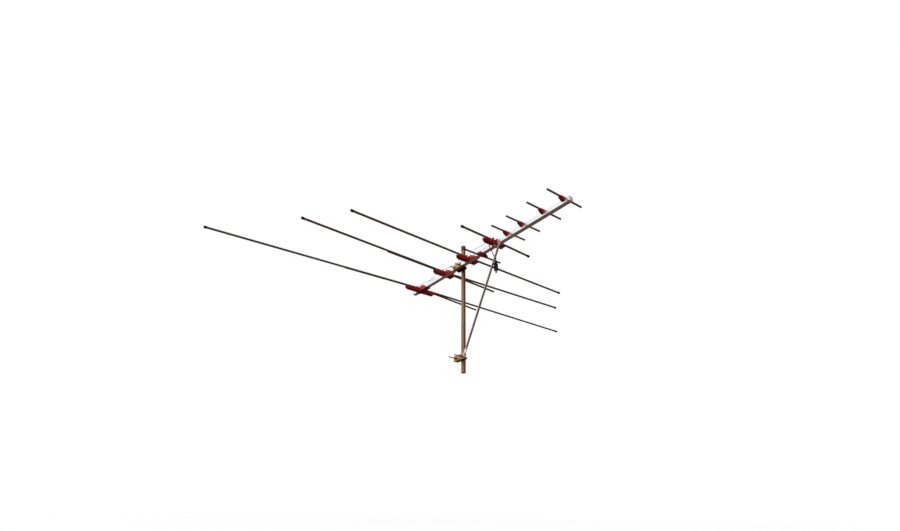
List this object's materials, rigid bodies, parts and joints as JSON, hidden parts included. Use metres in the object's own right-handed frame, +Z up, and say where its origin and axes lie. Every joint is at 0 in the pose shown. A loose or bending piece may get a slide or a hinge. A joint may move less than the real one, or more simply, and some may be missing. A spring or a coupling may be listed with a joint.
{
  "type": "outdoor tv antenna",
  "caption": "Outdoor TV antenna: square boom with split dipoles in red insulators, clipped directors, crossed phase wires, balun, mast clamp, brace strut and short mast.",
  "frame": {"origin": "on the mast's axis at the foot of the mast, where a lower mast section goes in", "axes": "+Z up along the mast, +X along the elements, -Y the way the directors point"},
  "size_m": [2.6291, 1.346, 0.7825],
  "materials": {
    "mast_steel": "yellow zinc",
    "boom_aluminium": "satin",
    "rod_aluminium": "satin",
    "red_plastic": "moulded",
    "black_plastic": "moulded",
    "brown_plastic": "moulded",
    "ivory_plastic": "moulded",
    "gold_steel": "yellow zinc",
    "plated_steel": "zinc",
    "screw_steel": "yellow zinc",
    "strut_steel": "satin",
    "wire_aluminium": "drawn",
    "lead_rubber": "matt"
  },
  "bodies": {
    "mast": {"mast_tube": "mast_steel", "mast_cap": "brown_plastic"},
    "antenna_head": {"balun_case": "black_plastic", "balun_lead_left": "lead_rubber", "balun_lead_right": "lead_rubber", "balun_socket": "plated_steel", "boom_clamp_channel": "gold_steel", "boom_front_plug": "ivory_plastic", "boom_rear_plug": "brown_plastic", "boom_tube": "boom_aluminium", "boom_u_bolt": "gold_steel", "brace_clamp_saddle": "gold_steel", "brace_foot_bolt": "plated_steel", "brace_nuts": "plated_steel", "brace_strut": "strut_steel", "brace_top_bolt": "plated_steel", "brace_u_bolt": "gold_steel", "clip_screws": "screw_steel", "companion_screws": "screw_steel", "dipole_1_companion_left": "rod_aluminium", "dipole_1_companion_right": "rod_aluminium", "dipole_1_insulator": "red_plastic", "dipole_1_rod_left": "rod_aluminium", "dipole_1_rod_right": "rod_aluminium", "dipole_2_companion_left": "rod_aluminium", "dipole_2_companion_right": "rod_aluminium", "dipole_2_insulator": "red_plastic", "dipole_2_rod_left": "rod_aluminium", "dipole_2_rod_right": "rod_aluminium", "dipole_3_insulator": "red_plastic", "dipole_3_rod_left": "rod_aluminium", "dipole_3_rod_right": "rod_aluminium", "dipole_4_insulator": "red_plastic", "dipole_4_rod_left": "rod_aluminium", "dipole_4_rod_right": "rod_aluminium", "director_1_clip": "red_plastic", "director_1_rod": "rod_aluminium", "director_2_clip": "red_plastic", "director_2_rod": "rod_aluminium", "director_3_clip": "red_plastic", "director_3_rod": "rod_aluminium", "director_4_clip": "red_plastic", "director_4_rod": "rod_aluminium", "mast_jaw": "black_plastic", "phase_wire_1_left": "wire_aluminium", "phase_wire_1_right": "wire_aluminium", "phase_wire_2_left": "wire_aluminium", "phase_wire_2_right": "wire_aluminium", "phase_wire_3_left": "wire_aluminium", "phase_wire_3_right": "wire_aluminium", "reflector_clip": "red_plastic", "reflector_rod": "rod_aluminium", "rod_tip_caps": "black_plastic", "side_screws": "screw_steel", "terminal_bolts": "screw_steel", "u_bolt_nuts": "gold_steel", "u_bolt_washers": "gold_steel", "wing_nuts": "screw_steel"}
  },
  "joints": [
    {"name": "aim_swivel", "type": "hinge", "parent": "mast", "child": "antenna_head", "pos_m": [0, 0, 0.63], "axis": [0, 0, 1], "continuous": true}
  ]
}
